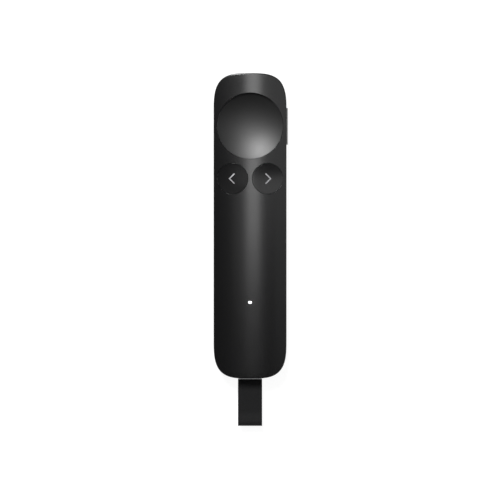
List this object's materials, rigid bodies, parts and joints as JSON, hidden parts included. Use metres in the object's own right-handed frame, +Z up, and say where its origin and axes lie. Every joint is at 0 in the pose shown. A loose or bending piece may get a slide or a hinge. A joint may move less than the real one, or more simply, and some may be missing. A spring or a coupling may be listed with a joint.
{
  "type": "wireless presentation clicker",
  "caption": "Slim hand-held presentation clicker with a dished main key, back and next keys, a side key and a receiver that pulls out of its end on a ribbon.",
  "frame": {"origin": "middle of the flat underside, halfway between the body's sides and ends", "axes": "+Z up out of the front with its keys, +Y along the body towards the dished key, +X to the right, where the side key is"},
  "size_m": [0.0315, 0.1505, 0.013],
  "materials": {
    "shell": "satin moulded black, fine grain",
    "key": "satin moulded black, slightly smoother than the shell",
    "mark": "pale grey inlay",
    "lens": "clear white light pipe, lit",
    "chassis": "black moulded chassis",
    "board": "green solder mask",
    "chip": "black moulded package",
    "ceramic": "cream ceramic or nylon",
    "steel": "plain steel",
    "cell_foil": "matt pouch foil",
    "tape": "adhesive tape",
    "foam": "dark adhesive foam",
    "red_wire": "red insulated wire",
    "blue_wire": "blue insulated wire",
    "receiver_plastic": "satin moulded black",
    "cap_metal": "dark grey satin metal",
    "ribbon": "black woven ribbon"
  },
  "bodies": {
    "housing": {"front_shell": "shell", "rear_shell": "shell", "mid_frame": "chassis", "light_pipe": "lens", "led_chip": "ceramic", "main_board": "board", "action_switch": "steel", "back_switch": "steel", "next_switch": "steel", "side_switch": "steel", "radio_chip": "chip", "radio_shield": "steel", "motion_sensor": "chip", "chip_antenna": "ceramic", "battery_cell": "cell_foil", "battery_tape": "tape", "battery_socket": "ceramic", "battery_leads": "red_wire", "motor": "steel", "motor_pad": "foam", "motor_leads": "blue_wire", "charge_port_shell": "steel", "charge_port_tongue": "chip", "board_screws": "steel", "frame_screws": "steel"},
    "action_key": {"action_button": "key", "action_plunger": "ceramic"},
    "back_key": {"back_button": "key", "back_chevron": "mark", "back_plunger": "ceramic"},
    "next_key": {"next_button": "key", "next_chevron": "mark", "next_plunger": "ceramic"},
    "side_key": {"side_button": "key", "side_plunger": "ceramic"},
    "receiver": {"receiver_housing": "receiver_plastic", "receiver_cap": "cap_metal", "receiver_board": "board", "receiver_chip": "chip", "plug_shell": "steel", "plug_core": "chip", "strap_pins": "steel", "strap_root": "ribbon"},
    "ribbon": {"pull_strap": "ribbon"}
  },
  "joints": [
    {"name": "action_press", "type": "slide", "parent": "housing", "child": "action_key", "axis": [0, 0, -1], "range_m": [0, 0.0003], "stiffness_N_per_m": 2000, "springref_m": -0.0002},
    {"name": "back_press", "type": "slide", "parent": "housing", "child": "back_key", "axis": [0, 0, -1], "range_m": [0, 0.0003], "stiffness_N_per_m": 2000, "springref_m": -0.0002},
    {"name": "next_press", "type": "slide", "parent": "housing", "child": "next_key", "axis": [0, 0, -1], "range_m": [0, 0.0003], "stiffness_N_per_m": 2000, "springref_m": -0.0002},
    {"name": "side_press", "type": "slide", "parent": "housing", "child": "side_key", "axis": [-1, 0, 0], "range_m": [0, 0.0003], "stiffness_N_per_m": 2000, "springref_m": -0.0002},
    {"name": "receiver_pull", "type": "slide", "parent": "housing", "child": "receiver", "axis": [0, -1, 0], "range_m": [0, 0.03]},
    {"name": "ribbon_bend", "type": "hinge", "parent": "receiver", "child": "ribbon", "pos_m": [0, -0.0661, 0.00606], "axis": [-1, 0, 0], "range_deg": [-15, 60], "stiffness_Nm_per_rad": 0.002}
  ]
}
